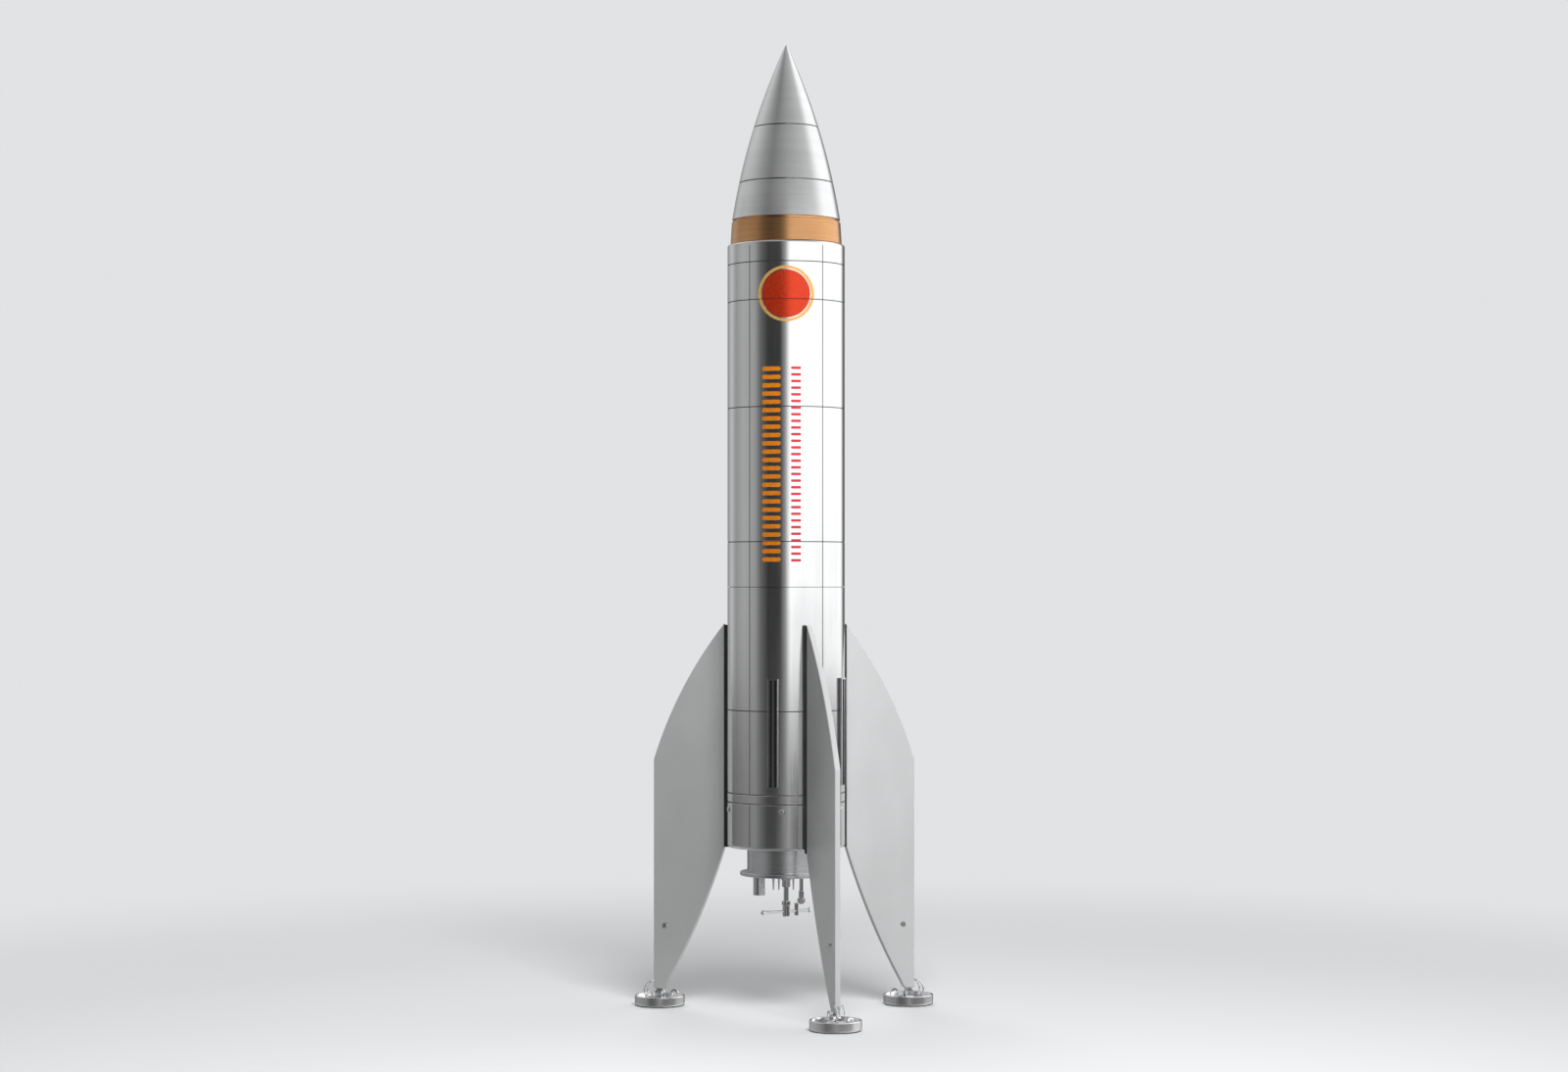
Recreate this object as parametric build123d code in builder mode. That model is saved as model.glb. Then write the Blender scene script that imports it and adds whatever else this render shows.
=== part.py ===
from build123d import *

import os
from math import cos, radians, sin

# Model rocket that stands on three swivelling feet.
# Millimetres, +Z up. The origin is on the rocket's axis at ground level, and the decals face -Y.
# A station is an angle about +Z from the decals' side, positive towards +X.

# Airframe, from the ground up
BODY_R = 33.0
WALL = 1.2
BORE_R = BODY_R - WALL
SKIRT_BOTTOM_Z = 93.3
BAND_BOTTOM_Z = 118.9
BAND_TOP_Z = 124.1
TUBE_JOINT_Z = 239.5
TUBE_TOP_Z = 431.8
LIP_FILLET = 1.1
SEAM = 0.15  # half of the gap between two stacked pieces
GLUE = 0.05  # radial room for adhesive

# Engraved panel lines
LINE_W = 0.5
LINE_DEPTH = 0.35
TUBE_LINES_Z = (264.7, 339.6, 399.1, 420.1)
CAN_LINES_Z = (170.6,)
LINE_STATIONS = (-38, 38, 142, 218)

# Nose cone: an ogive cut into three turned sections, on a copper-coloured band
TIP_Z = 544.5
TIP_BLUNT_R = 0.9
NOSE_TIP_SEAM_Z = 498.1
NOSE_MID_SEAM_Z = 466.7
NOSE_BASE_Z = 446.0
NOSE_HALF_Z = 495.2
NOSE_HALF_R = 19.2
NOSE_BASE_R = 30.4
NOSE_WALL = 2.0
NOSE_EDGE = 0.3
SPIGOT_H = 4.0
BAND_HEAD_R = 30.6
BAND_FOOT_R = 31.35
BAND_GROOVE_H = 1.4
BAND_GROOVE_R = 28.9
BAND_BORE_R = 27.4
SHOULDER_BOTTOM_Z = 386.0
SHOULDER_R = BORE_R - 0.15
SHOULDER_FLOOR_T = 3.0
ROD_R = 2.0
ROD_BOTTOM_Z = SHOULDER_BOTTOM_Z - 5
BALLAST_R = 13.0
BALLAST_H = 14.0

# Eyes for the recovery harness
EYE_NUT_R = 4.6
EYE_NUT_H = 6.0
EYE_RING_R = 5.0
EYE_WIRE_R = 1.3
BAFFLE_Z = 256.0
BAFFLE_T = 3.0
CHUTE_R = 25.0
CHUTE_Z = (278.0, 340.0)

# Inner tubes and rings
BODY_COUPLER_Z = (215.0, 265.0)
AFT_COUPLER_Z = (108.0, 136.0)
COUPLER_WALL = 1.3
MOTOR_R = 14.5
MOTOR_TUBE_BORE_R = 14.6
MOTOR_TUBE_R = 15.4
MOTOR_TUBE_Z = (97.0, 232.0)
MOTOR_Z = (98.5, 222.5)
MOTOR_WALL = 1.6
CLOSURE_T = 6.0
RING_T = 3.0
RINGS_Z = (104.0, 144.0, 208.5)

# Fins: plates cut to a swept outline, each on a black root rail
FIN_STATIONS = {"front": 20, "right": 116, "left": -112}
FIN_T = 3.2
FIN_EDGE = 0.3
FIN_ROOT_R = 37.6
FIN_OUTER_R = 81.1
FIN_TOP_Z = 218.5
FIN_SHOULDER_Z = 140.9
FIN_ROOT_BOTTOM_Z = 91.5
FIN_TIP_Z = 9.6
FIN_TIP_W = 6.0
FIN_UPPER_BOW = (64.2, 179.7)
FIN_LOWER_BOW = (53.7, 50.4)
TAB_T = 1.8
TAB_Z = (150.0, 205.0)
RAIL_W = 2.4
RAIL_Z = (92.0, 218.0)
TONGUE_T = 1.2
TONGUE_W = 4.0
RIVET_AT = (74.0, 46.3)
RIVET_R = 0.9
RIVET_HEAD_R = 1.7
RIVET_HEAD_H = 0.9

# Tail end, with the hatch that covers the motor
COLLAR_R = 21.9
COLLAR_BORE_R = 20.3
COLLAR_SPIGOT_R = 21.2
HATCH_R = 25.9
HATCH_TOP_Z = 79.6
HATCH_T = 2.2
SKIRT_FLOOR_T = 2.5
SPINDLE_R = 1.4
SPINDLE_HOLE_R = 1.47
SPINDLE_TOP_Z = 103.5
GLAND_R = 2.8
GLAND_BOTTOM_Z = 70.6
COLLET_R = 2.4
COLLET_Z = (60.4, 62.4)
HUB_R = 2.0
HUB_Z = (53.8, 60.4)
BAR_Z = 56.7
BAR_REACH = 15.0
BAR_NECK_R = 0.75
BAR_END_R = 1.0
BALL_R = 1.35
BAR_STATION = 120  # the T-bar's right-hand arm, a little behind the X axis
PINCH_SCREW_R = 1.1
PINCH_SCREW_OUT = 6.7
PINCH_SCREW_Z = (54.0, 61.2)
EXHAUST_AT = (-15.2, -2.5)
EXHAUST_R = 3.3
EXHAUST_WALL = 0.6
EXHAUST_BOTTOM_Z = 66.2
PINS_AT = ((-7.1, -9.0), (-4.0, -9.5), (4.1, -9.5))
PIN_R = 0.75
PIN_BOTTOM_Z = 69.8
VENT_AT = (8.5, -6.0)
VENT_R = 1.1
VENT_SLEEVE_R = 1.45
VENT_SLEEVE_TOP_Z = 69.0
VENT_BOTTOM_Z = 61.6
VENT_NUT_R = 2.2
VENT_NUT_Z = (62.4, 64.6)

# Feet, each modelled about its own upright axis
FOOT_R = 78.0  # how far from the rocket's axis each foot stands
PAD_R = 14.3
PAD_Z = (0.6, 5.9)
PAD_FOOT_FILLET = 0.9
PAD_RIM_FILLET = 0.45
DISH_R = 13.1
DISH_FLOOR_R = 12.4
DISH_Z = 3.6
SOLE_R = 12.6
SOLE_T = 1.6
PIVOT_Z = 6.9
PIVOT_R = 0.8
PIVOT_HOLE_R = 0.86
EAR_R = 2.3
EAR_T = 1.4
EAR_GAP = 0.15
BRACKET_R = 5.0
BRACKET_T = 1.0
WIRE_R = 0.45
BAIL_HINGE = (7.8, 5.1)  # out from the foot's axis, and up
BAIL_BOW = (8.2, 10.2)
BAIL_END = (4.7, 13.9)
BAIL_HALF_W = 2.25
LUG_W = 3.0
LUG_R = 1.1
LUG_HOLE_R = 0.52
TIE_EYE_AT = (-9.2, 7.3)  # high enough for a pin to pass over the rim
TIE_EYE_R = 2.3
TIE_EYE_HOLE_R = 1.3
TIE_EYE_T = 1.2

# Launch-tower guides: strips with two grooves, closed at the top
GUIDE_STATIONS = (-12.5, 68, 148.5)
GUIDE_Z = (128.7, 188.7)
GUIDE_W = 6.0
GUIDE_H = 2.0
GUIDE_RIM = 0.8
GROOVE_W = 1.9
GROOVE_DEPTH = 1.5

# Skirt screws
SCREW_STATION = -4.2
SCREW_COUNT = 5
SCREW_Z = 115.0
SCREW_R = 0.8
SCREW_HEAD_R = 1.8
SCREW_HEAD_H = 1.0
SCREW_REACH = 3.2

# Decals
DECAL_T = 0.12
EMBLEM_Z = 402.0
EMBLEM_R = 15.5
EMBLEM_RING_W = 1.6
EMBLEM_GAP = 0.6
STRIPE_Z = (253.6, 361.6)
STRIPE_GAP = 2.2
WIDE_STRIPE_STATION = -14.5
WIDE_STRIPE_W = 10.5
WIDE_STRIPE_BARS = 24
NARROW_STRIPE_STATION = 9.5
NARROW_STRIPE_W = 5.6
NARROW_STRIPE_BARS = 30


def write(piece, name):
    """Labels a finished piece and saves it."""
    piece.label = name
    export_step(piece, f"parts/{name}.step")


def to_station(piece, station):
    """Turns a piece that was modelled out along +X to its station."""
    return piece.rotate(Axis.Z, station - 90)


def to_foot(piece, station):
    """Sets a piece that was modelled about a foot's own axis under the fin at a station."""
    return to_station(piece.moved(Location((FOOT_R, 0, 0))), station)


def on_body(station):
    """A place on the airframe's side, facing outwards, for a sketch that lies level."""
    turn = station - 90
    return Location((BODY_R * cos(radians(turn)), BODY_R * sin(radians(turn))), turn)


def add_ring(inner_r, outer_r, bottom_z, top_z):
    """Adds a plain ring about Z to the open BuildPart."""
    with BuildSketch(Plane.XY.offset(bottom_z)) as ring:
        Circle(outer_r)
        Circle(inner_r, mode=Mode.SUBTRACT)
    extrude(ring.sketch, amount=top_z - bottom_z)


def add_disc(r, bottom_z, top_z, mode=Mode.ADD):
    """Adds a plain disc about Z to the open BuildPart, or cuts a bore."""
    with BuildSketch(Plane.XY.offset(bottom_z)) as disc:
        Circle(r)
    extrude(disc.sketch, amount=top_z - bottom_z, mode=mode)


def cut_bore(r, bottom_z, top_z):
    add_disc(r, bottom_z, top_z, mode=Mode.SUBTRACT)


def cut_panel_lines(ring_levels, bottom_z, top_z):
    """Engraves lines round and along the airframe's skin in the open BuildPart."""
    with BuildSketch(Plane.XY.offset(bottom_z)) as long_lines:
        with Locations([on_body(station) for station in LINE_STATIONS]):
            Rectangle(2 * LINE_DEPTH, LINE_W)
    extrude(long_lines.sketch, amount=top_z - bottom_z, mode=Mode.SUBTRACT)
    if ring_levels:
        with BuildSketch(Plane.XZ) as ring_lines:
            with Locations([(BODY_R, z) for z in ring_levels]):
                Rectangle(2 * LINE_DEPTH, LINE_W)
        revolve(ring_lines.sketch, axis=Axis.Z, mode=Mode.SUBTRACT)


# ---------------------------------------------------------------- nose


def add_ogive():
    """Adds the whole nose, as one solid of revolution, to the open BuildPart."""
    blunt = (TIP_BLUNT_R, TIP_Z - TIP_BLUNT_R)
    with BuildSketch(Plane.XZ) as half:
        with BuildLine():
            ThreePointArc((NOSE_BASE_R, NOSE_BASE_Z), (NOSE_HALF_R, NOSE_HALF_Z), blunt)
            RadiusArc(blunt, (0, TIP_Z), -TIP_BLUNT_R)
            Polyline((0, TIP_Z), (0, NOSE_BASE_Z), (NOSE_BASE_R, NOSE_BASE_Z))
        make_face()
    revolve(half.sketch, axis=Axis.Z)


def nose_r(z):
    """The ogive's radius at a height, within half a millimetre."""
    up = (z - NOSE_BASE_Z) / (TIP_Z - NOSE_BASE_Z)
    half = (NOSE_HALF_Z - NOSE_BASE_Z) / (TIP_Z - NOSE_BASE_Z)
    bow = (NOSE_HALF_R - NOSE_BASE_R * (1 - half)) / (half * (1 - half))
    return NOSE_BASE_R * (1 - up) + bow * up * (1 - up)


TIP_BORE_R = nose_r(NOSE_TIP_SEAM_Z) - 5
MID_BORE_R = nose_r(NOSE_MID_SEAM_Z) - 4


def build_nose_sections():
    with BuildPart() as tip:
        add_ogive()
        split(bisect_by=Plane.XY.offset(NOSE_TIP_SEAM_Z + SEAM), keep=Keep.TOP)
        chamfer(tip.edges().group_by(Axis.Z)[0], NOSE_EDGE)
        cut_bore(TIP_BORE_R, NOSE_TIP_SEAM_Z, NOSE_TIP_SEAM_Z + SPIGOT_H)
        cut_bore(ROD_R, NOSE_TIP_SEAM_Z, NOSE_TIP_SEAM_Z + 14)
    write(tip.part, "nose_tip")

    mid_plate_z = NOSE_TIP_SEAM_Z - 3
    with BuildPart() as mid:
        add_ogive()
        split(bisect_by=Plane.XY.offset(NOSE_TIP_SEAM_Z - SEAM), keep=Keep.BOTTOM)
        split(bisect_by=Plane.XY.offset(NOSE_MID_SEAM_Z + SEAM), keep=Keep.TOP)
        chamfer(mid.edges().group_by(Axis.Z)[0] + mid.edges().group_by(Axis.Z)[-1], NOSE_EDGE)
        add_disc(TIP_BORE_R - GLUE, mid_plate_z, NOSE_TIP_SEAM_Z + SPIGOT_H - SEAM)
        cut_bore(MID_BORE_R, NOSE_MID_SEAM_Z, NOSE_MID_SEAM_Z + SPIGOT_H)
        with BuildSketch(Plane.XY.offset(NOSE_MID_SEAM_Z + SPIGOT_H)):
            Circle(MID_BORE_R - 1)
        with BuildSketch(Plane.XY.offset(mid_plate_z)):
            Circle(nose_r(mid_plate_z) - NOSE_WALL)
        loft(mode=Mode.SUBTRACT)
        cut_bore(ROD_R + GLUE, mid_plate_z, NOSE_TIP_SEAM_Z + SPIGOT_H)
    write(mid.part, "nose_mid_section")

    with BuildPart() as base:
        add_ogive()
        split(bisect_by=Plane.XY.offset(NOSE_MID_SEAM_Z - SEAM), keep=Keep.BOTTOM)
        chamfer(base.edges().group_by(Axis.Z)[-1], NOSE_EDGE)
        add_disc(MID_BORE_R - GLUE, NOSE_MID_SEAM_Z - 2, NOSE_MID_SEAM_Z + SPIGOT_H - SEAM)
        with BuildSketch(Plane.XY.offset(NOSE_BASE_Z)):
            Circle(BAND_BORE_R)
        with BuildSketch(Plane.XY.offset(NOSE_MID_SEAM_Z + SPIGOT_H)):
            Circle(MID_BORE_R - NOSE_WALL)
        loft(mode=Mode.SUBTRACT)
    write(base.part, "nose_base_section")


def build_nose_band():
    """A tapered band with a deep shadow groove under the nose's base."""
    bottom_z = TUBE_TOP_Z + SEAM
    groove_z = NOSE_BASE_Z - BAND_GROOVE_H
    with BuildPart() as band:
        with BuildSketch(Plane.XZ):
            Polygon(
                (BAND_BORE_R, bottom_z),
                (BAND_FOOT_R, bottom_z),
                (BAND_HEAD_R, groove_z),
                (BAND_GROOVE_R, groove_z),
                (BAND_GROOVE_R, NOSE_BASE_Z),
                (BAND_BORE_R, NOSE_BASE_Z),
                align=None,
            )
        revolve(axis=Axis.Z)
        chamfer(band.edges().filter_by(GeomType.CIRCLE).sort_by(SortBy.RADIUS)[-2:], 0.25)
    write(band.part, "nose_band")


def build_nose_shoulder():
    """Slides in the body tube. Its neck carries the band and the nose's base."""
    neck_r = BAND_BORE_R - GLUE
    floor_z = SHOULDER_BOTTOM_Z + SHOULDER_FLOOR_T
    with BuildPart() as shoulder:
        add_disc(SHOULDER_R, SHOULDER_BOTTOM_Z, TUBE_TOP_Z)
        chamfer(shoulder.edges().group_by(Axis.Z)[0], 1)
        add_disc(neck_r, TUBE_TOP_Z, NOSE_BASE_Z)
        cut_bore(ROD_R + GLUE, SHOULDER_BOTTOM_Z, NOSE_BASE_Z)
        cut_bore(neck_r - NOSE_WALL, floor_z, NOSE_BASE_Z)
        cut_bore(SHOULDER_R - NOSE_WALL, floor_z, TUBE_TOP_Z - SHOULDER_FLOOR_T)
    write(shoulder.part, "nose_shoulder")


def build_nose_inside():
    with BuildPart() as rod:
        add_disc(ROD_R - GLUE, ROD_BOTTOM_Z, NOSE_TIP_SEAM_Z + 13)
        chamfer(rod.edges().filter_by(GeomType.CIRCLE), 0.4)
    write(rod.part, "nose_tie_rod")

    ballast_z = SHOULDER_BOTTOM_Z + SHOULDER_FLOOR_T
    with BuildPart() as ballast:
        add_ring(ROD_R + GLUE, BALLAST_R, ballast_z, ballast_z + BALLAST_H)
        chamfer(ballast.edges().filter_by(GeomType.CIRCLE).sort_by(SortBy.RADIUS)[-2:], 0.8)
    write(ballast.part, "nose_ballast")


def build_eye(name, base_z, up):
    """An eye on a threaded base: up is 1 where the eye stands and -1 where it hangs."""
    ring_z = base_z + up * (EYE_NUT_H + EYE_RING_R)
    with BuildPart() as eye:
        add_disc(EYE_NUT_R, base_z, base_z + up * EYE_NUT_H)
        with BuildSketch(Plane.XY.offset(ring_z)):
            with Locations((EYE_RING_R, 0)):
                Circle(EYE_WIRE_R)
        revolve(axis=Axis((0, 0, ring_z), (0, 1, 0)))
        cut_bore(ROD_R, base_z, base_z + up * (EYE_NUT_H - 1))
    write(eye.part, name)


# ---------------------------------------------------------------- airframe tubes


def build_tubes():
    with BuildPart() as tube:
        add_ring(BORE_R, BODY_R, TUBE_JOINT_Z + SEAM, TUBE_TOP_Z)
        lip = tube.edges().filter_by(GeomType.CIRCLE).group_by(Axis.Z)[-1].sort_by(SortBy.RADIUS)[-1]
        fillet(lip, LIP_FILLET)
        cut_panel_lines(TUBE_LINES_Z, TUBE_JOINT_Z, TUBE_TOP_Z - 2 * LIP_FILLET)
    write(tube.part, "body_tube")

    with BuildPart() as can:
        add_ring(BORE_R, BODY_R, BAND_TOP_Z + SEAM, TUBE_JOINT_Z - SEAM)
        chamfer(can.edges().group_by(Axis.Z)[0].sort_by(SortBy.RADIUS)[-1], NOSE_EDGE)
        cut_panel_lines(CAN_LINES_Z, BAND_TOP_Z, TUBE_JOINT_Z)
        with BuildSketch(Plane.XY.offset(TAB_Z[0] - GLUE)):
            with Locations([on_body(station) for station in FIN_STATIONS.values()]):
                Rectangle(6 * WALL, TAB_T + 2 * GLUE)
        extrude(amount=TAB_Z[1] - TAB_Z[0] + 2 * GLUE, mode=Mode.SUBTRACT)
    write(can.part, "fin_can")

    with BuildPart() as band:
        add_ring(BORE_R, BODY_R, BAND_BOTTOM_Z + SEAM, BAND_TOP_Z - SEAM)
        chamfer(band.edges().filter_by(GeomType.CIRCLE).sort_by(SortBy.RADIUS)[-2:], NOSE_EDGE)
    write(band.part, "joint_band")

    with BuildPart() as skirt:
        add_disc(BODY_R, SKIRT_BOTTOM_Z, BAND_BOTTOM_Z - SEAM)
        fillet(skirt.edges().group_by(Axis.Z)[0], 1.6)
        chamfer(skirt.edges().group_by(Axis.Z)[-1], NOSE_EDGE)
        cut_bore(BORE_R, SKIRT_BOTTOM_Z + SKIRT_FLOOR_T, BAND_BOTTOM_Z)
        cut_bore(COLLAR_SPIGOT_R + GLUE, SKIRT_BOTTOM_Z, SKIRT_BOTTOM_Z + SKIRT_FLOOR_T)
        cut_panel_lines((), SKIRT_BOTTOM_Z + 2, BAND_BOTTOM_Z)
        cut_screw_holes()
    write(skirt.part, "aft_skirt")


def build_couplers():
    outer_r = BORE_R - GLUE
    inner_r = outer_r - COUPLER_WALL
    with BuildPart() as body_coupler:
        add_ring(inner_r, outer_r, *BODY_COUPLER_Z)
    write(body_coupler.part, "body_coupler")

    with BuildPart() as aft_coupler:
        add_ring(inner_r, outer_r, *AFT_COUPLER_Z)
        cut_screw_holes()
    write(aft_coupler.part, "aft_coupler")

    # Six holes let the motor's ejection gas through to the parachute
    with BuildPart() as baffle:
        add_ring(ROD_R + GLUE, inner_r - GLUE, BAFFLE_Z, BAFFLE_Z + BAFFLE_T)
        with BuildSketch(Plane.XY.offset(BAFFLE_Z)):
            with PolarLocations(18, 6):
                Circle(3.5)
        extrude(amount=BAFFLE_T, mode=Mode.SUBTRACT)
    write(baffle.part, "ejection_baffle")

    head_z = BAFFLE_Z - 4
    with BuildPart() as bolt:
        with BuildSketch(Plane.XY.offset(head_z)):
            RegularPolygon(4.2, 6)
        extrude(amount=BAFFLE_Z - head_z)
        add_disc(ROD_R - GLUE, head_z, BAFFLE_Z + BAFFLE_T + EYE_NUT_H - 2)
    write(bolt.part, "harness_bolt")


def build_parachute():
    """The packed parachute, rolled up in the recovery bay."""
    with BuildPart() as chute:
        add_disc(CHUTE_R, *CHUTE_Z)
        fillet(chute.edges().filter_by(GeomType.CIRCLE), 7)
    write(chute.part, "parachute_bundle")


# ---------------------------------------------------------------- motor mount


def build_motor_mount():
    with BuildPart() as motor_tube:
        add_ring(MOTOR_TUBE_BORE_R, MOTOR_TUBE_R, *MOTOR_TUBE_Z)
    write(motor_tube.part, "motor_tube")

    with BuildPart() as rings:
        for bottom_z in RINGS_Z:
            add_ring(MOTOR_TUBE_R + GLUE, BORE_R - GLUE, bottom_z, bottom_z + RING_T)
    write(rings.part, "centring_rings")

    with BuildPart() as casing:
        add_ring(MOTOR_R - MOTOR_WALL, MOTOR_R, *MOTOR_Z)
        chamfer(casing.edges().filter_by(GeomType.CIRCLE).sort_by(SortBy.RADIUS)[-2:], 0.4)
    write(casing.part, "motor_casing")

    plug_r = MOTOR_R - MOTOR_WALL - GLUE
    with BuildPart() as aft_closure:
        add_ring(SPINDLE_HOLE_R, plug_r, MOTOR_Z[0], MOTOR_Z[0] + CLOSURE_T)
    write(aft_closure.part, "motor_aft_closure")

    with BuildPart() as forward_closure:
        add_ring(1.5, plug_r, MOTOR_Z[1] - CLOSURE_T, MOTOR_Z[1])
    write(forward_closure.part, "motor_forward_closure")


# ---------------------------------------------------------------- fins


def add_tongue_outline(margin):
    """Adds to the open sketch a tongue's outline, from its rivet down to the foot's pivot."""
    rivet = Vector(*RIVET_AT)
    pivot = Vector(FOOT_R, PIVOT_Z)
    SlotCenterPoint((rivet + pivot) / 2, pivot, TONGUE_W + 2 * margin)


def build_fins():
    tab_root_r = MOTOR_TUBE_R + GLUE
    for place, station in FIN_STATIONS.items():
        with BuildPart() as fin:
            with BuildSketch(Plane.XZ) as outline:
                with BuildLine():
                    root_top = (FIN_ROOT_R, FIN_TOP_Z)
                    root_bottom = (FIN_ROOT_R, FIN_ROOT_BOTTOM_Z)
                    shoulder = (FIN_OUTER_R, FIN_SHOULDER_Z)
                    tip_inside = (FIN_OUTER_R - FIN_TIP_W, FIN_TIP_Z)
                    ThreePointArc(root_top, FIN_UPPER_BOW, shoulder)
                    Polyline(shoulder, (FIN_OUTER_R, FIN_TIP_Z), tip_inside)
                    ThreePointArc(tip_inside, FIN_LOWER_BOW, root_bottom)
                    Line(root_bottom, root_top)
                make_face()
                fillet(outline.vertices().group_by(Axis.Y)[0], 0.8)
            extrude(amount=FIN_T / 2, both=True)
            chamfer(fin.faces().sort_by(Axis.Y)[0].edges(), FIN_EDGE)
            chamfer(fin.faces().sort_by(Axis.Y)[-1].edges(), FIN_EDGE)
            with BuildSketch(Plane.XZ):
                with Locations(((tab_root_r + FIN_ROOT_R + 1) / 2, sum(TAB_Z) / 2)):
                    Rectangle(FIN_ROOT_R + 1 - tab_root_r, TAB_Z[1] - TAB_Z[0])
            extrude(amount=TAB_T / 2, both=True)
            with BuildSketch(Plane.XZ):
                add_tongue_outline(GLUE)
            extrude(amount=TONGUE_T / 2 + GLUE, both=True, mode=Mode.SUBTRACT)
            with BuildSketch(Plane.XZ):
                with Locations(RIVET_AT):
                    Circle(RIVET_R)
            extrude(amount=FIN_T, both=True, mode=Mode.SUBTRACT)
        write(to_station(fin.part, station), f"fin_{place}")


def write_under_fins(piece, name, turn=to_station):
    """Saves copies of a piece, one at each fin, as one group."""
    write(Compound([turn(piece, station) for station in FIN_STATIONS.values()]), name)


def build_fin_rails():
    """Black strips between the airframe's skin and the fins' roots."""
    with BuildPart() as rail:
        with BuildSketch(Plane.XY.offset(RAIL_Z[0])):
            with Locations((FIN_ROOT_R - GLUE, 0)):
                Rectangle(FIN_ROOT_R - BODY_R + WALL, RAIL_W, align=(Align.MAX, Align.CENTER))
        extrude(amount=RAIL_Z[1] - RAIL_Z[0])
        cut_bore(BODY_R + GLUE, *RAIL_Z)
        with BuildSketch(Plane.XZ):
            with Locations((FIN_ROOT_R, sum(TAB_Z) / 2)):
                Rectangle(2 * FIN_ROOT_R, TAB_Z[1] - TAB_Z[0] + 2 * GLUE)
        extrude(amount=TAB_T / 2 + GLUE, both=True, mode=Mode.SUBTRACT)
    write_under_fins(rail.part, "fin_rails")


def build_fin_tongues():
    """Steel tongues let into the fins' tips, and the rivets that hold them."""
    with BuildPart() as tongue:
        with BuildSketch(Plane.XZ):
            add_tongue_outline(0)
            with Locations(RIVET_AT):
                Circle(RIVET_R, mode=Mode.SUBTRACT)
            with Locations((FOOT_R, PIVOT_Z)):
                Circle(PIVOT_R, mode=Mode.SUBTRACT)
        extrude(amount=TONGUE_T / 2, both=True)
    write_under_fins(tongue.part, "fin_tongues")

    with BuildPart() as rivet:
        with BuildSketch(Plane.XZ):
            with Locations(RIVET_AT):
                Circle(RIVET_R - GLUE / 2)
        extrude(amount=FIN_T / 2, both=True)
        for side in (-1, 1):
            with BuildSketch(Plane.XZ.offset(side * FIN_T / 2)):
                with Locations(RIVET_AT):
                    Circle(RIVET_HEAD_R)
            extrude(amount=side * RIVET_HEAD_H, taper=35)
    write_under_fins(rivet.part, "fin_rivets")


# ---------------------------------------------------------------- guides, screws and decals


def build_guides():
    groove_y = GUIDE_W / 2 - GUIDE_RIM - GROOVE_W / 2
    with BuildPart() as guide:
        with BuildSketch(Plane.XY.offset(GUIDE_Z[0])):
            with Locations((BODY_R + GUIDE_H, 0)):
                Rectangle(GUIDE_H + WALL, GUIDE_W, align=(Align.MAX, Align.CENTER))
        extrude(amount=GUIDE_Z[1] - GUIDE_Z[0])
        cut_bore(BODY_R + GLUE, *GUIDE_Z)
        fillet(guide.edges().filter_by(Axis.Z).group_by(Axis.X)[-1], 0.25)
        with BuildSketch(Plane.XY.offset(GUIDE_Z[0])):
            with Locations((BODY_R + GUIDE_H, groove_y), (BODY_R + GUIDE_H, -groove_y)):
                Rectangle(2 * GROOVE_DEPTH, GROOVE_W)
        extrude(amount=GUIDE_Z[1] - GUIDE_RIM - GUIDE_Z[0], mode=Mode.SUBTRACT)
    write(Compound([to_station(guide.part, station) for station in GUIDE_STATIONS]), "guide_rails")


def screw_stations():
    return [SCREW_STATION + 360 * turn / SCREW_COUNT for turn in range(SCREW_COUNT)]


def cut_screw_holes():
    """Drills the skirt screws' holes in the open BuildPart."""
    for station in screw_stations():
        outwards = Vector(1, 0, 0).rotate(Axis.Z, station - 90)
        face_centre = outwards * BODY_R + Vector(0, 0, SCREW_Z)
        with BuildSketch(Plane(origin=face_centre, z_dir=outwards)) as hole:
            Circle(SCREW_R + GLUE)
        extrude(hole.sketch, amount=SCREW_REACH + 2, both=True, mode=Mode.SUBTRACT)


def build_skirt_screws():
    dome_r = (SCREW_HEAD_R**2 + SCREW_HEAD_H**2) / (2 * SCREW_HEAD_H)
    inner_end = BODY_R - SCREW_REACH
    crown = (BODY_R + SCREW_HEAD_H, 0)
    rim = (BODY_R, SCREW_HEAD_R)
    with BuildPart() as screw:
        with BuildSketch(Plane.XY):
            with BuildLine():
                Polyline(crown, (inner_end, 0), (inner_end, SCREW_R), (BODY_R, SCREW_R), rim)
                RadiusArc(rim, crown, dome_r)
            make_face()
        revolve(axis=Axis.X)
    raised = screw.part.moved(Location((0, 0, SCREW_Z)))
    write(Compound([to_station(raised, station) for station in screw_stations()]), "skirt_screws")


def keep_skin():
    """Keeps only a decal's thickness on the airframe's front, in the open BuildPart."""
    inner_r = BODY_R + 0.02
    with BuildSketch(Plane.XY.offset(SKIRT_BOTTOM_Z)) as skin:
        Circle(inner_r + DECAL_T)
        Circle(inner_r, mode=Mode.SUBTRACT)
    extrude(skin.sketch, amount=TUBE_TOP_Z - SKIRT_BOTTOM_Z, mode=Mode.INTERSECT)


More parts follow.
